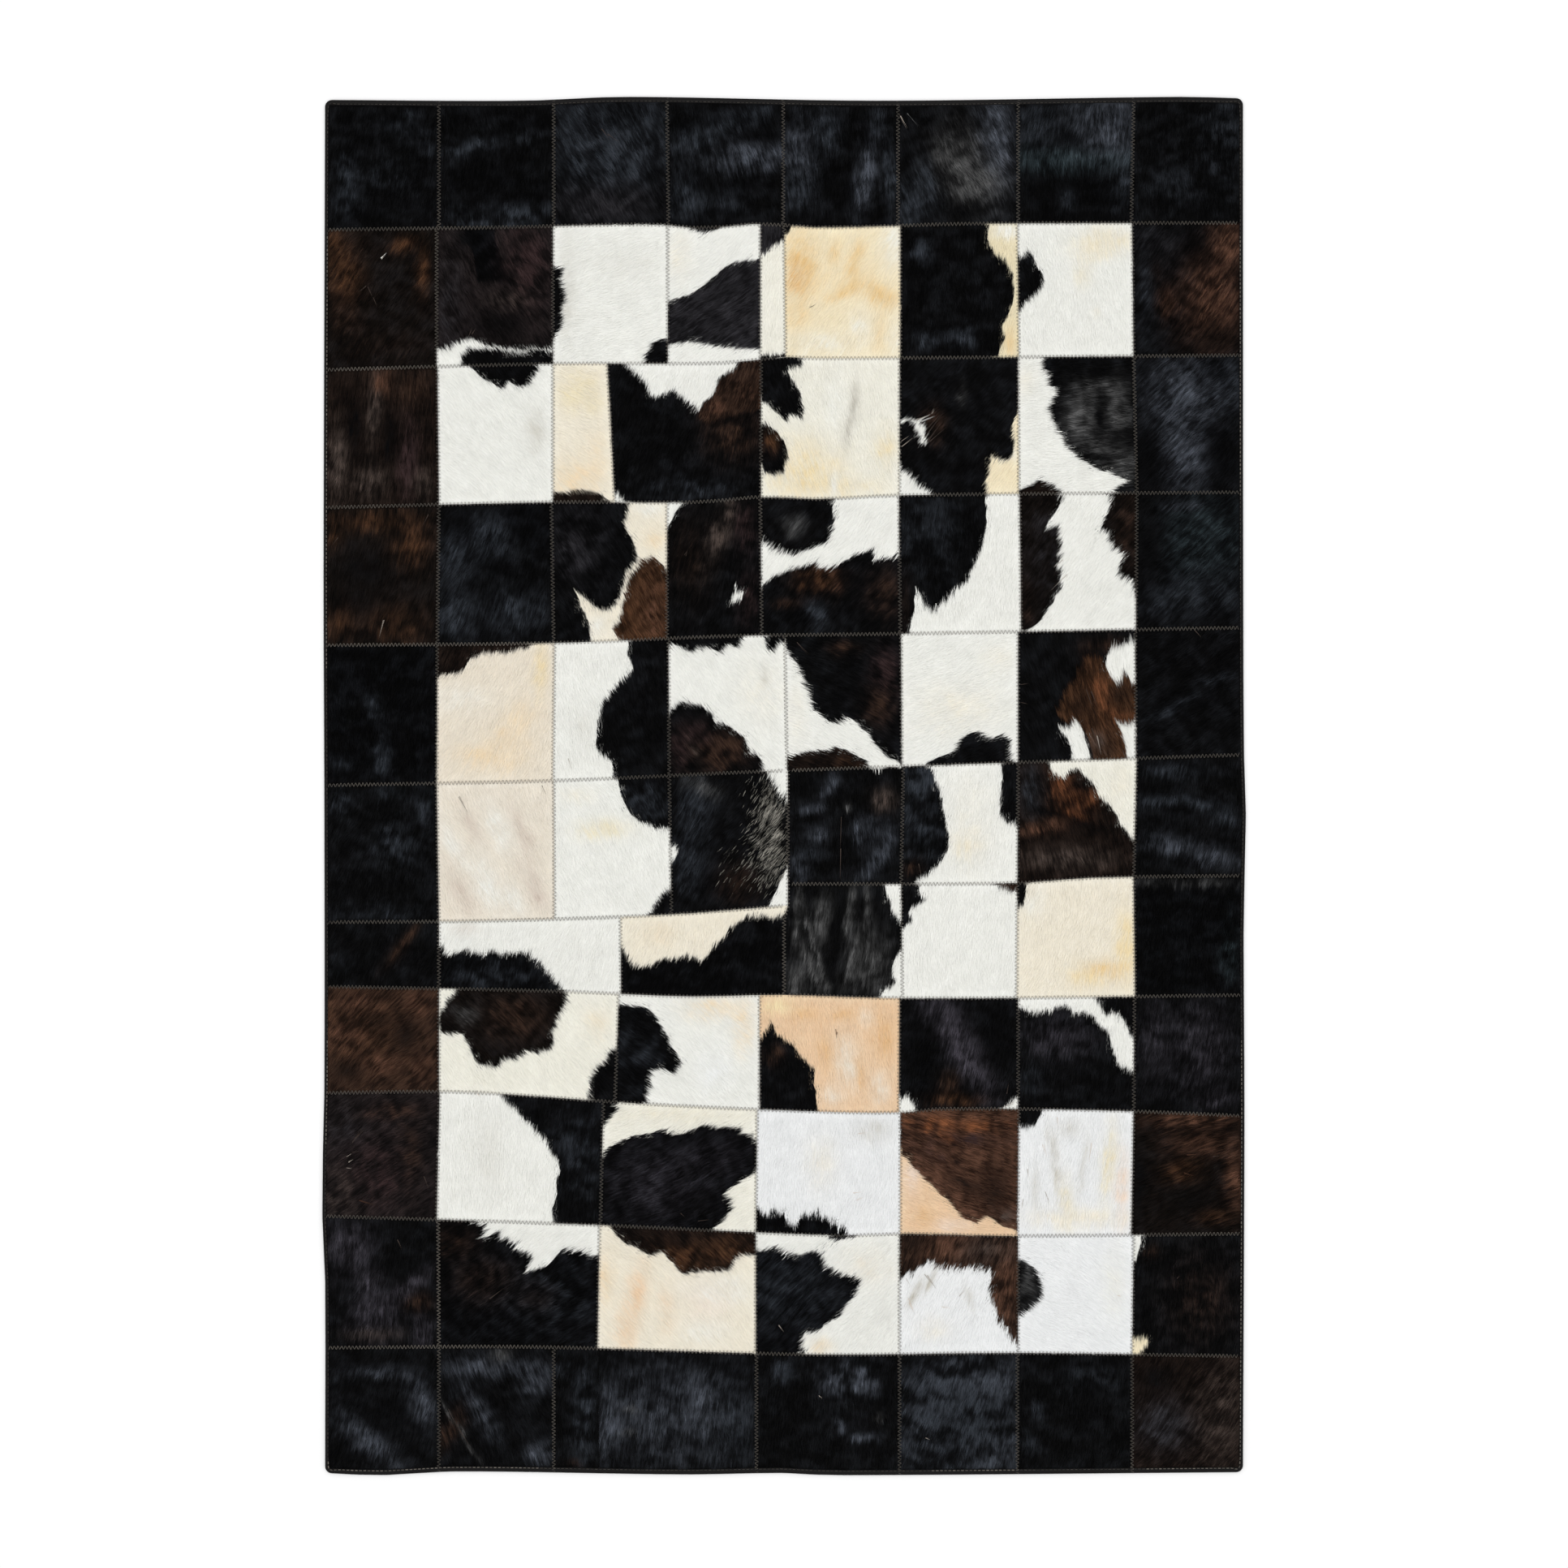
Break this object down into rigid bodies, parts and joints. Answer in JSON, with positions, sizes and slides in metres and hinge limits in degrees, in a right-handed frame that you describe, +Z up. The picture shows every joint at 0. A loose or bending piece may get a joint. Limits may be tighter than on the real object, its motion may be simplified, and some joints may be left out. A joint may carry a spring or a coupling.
{
  "type": "cowhide patchwork rug",
  "caption": "Flat rectangular rug of hair-on cowhide patches, a pied black, white, tan and brown field inside a dark border, joined by zigzag seams.",
  "frame": {"origin": "on the flat underside, in the middle of the rug's box", "axes": "+Z up out of the hair side, +Y along the rug's length towards its head end, +X across it to the right"},
  "size_m": [1.2073, 1.8016, 0.0055],
  "materials": {
    "cowhide_black": "short glossy black hair on hide",
    "cowhide_pied": "short white and cream hair with black and brown spots on hide",
    "hem_leather": "hide turned under at the rug's edge, its hair shaved close",
    "thread": "matt taupe sewing thread"
  },
  "bodies": {
    "root": {"strip_01": "cowhide_black", "strip_02": "cowhide_pied", "strip_03": "cowhide_pied", "strip_04": "cowhide_pied", "strip_05": "cowhide_pied", "strip_06_left": "cowhide_pied", "strip_06_right": "cowhide_pied", "strip_07_left": "cowhide_pied", "strip_07_right": "cowhide_pied", "strip_08": "cowhide_pied", "strip_09": "cowhide_pied", "strip_10": "cowhide_pied", "strip_11": "cowhide_black"}
  },
  "joints": []
}
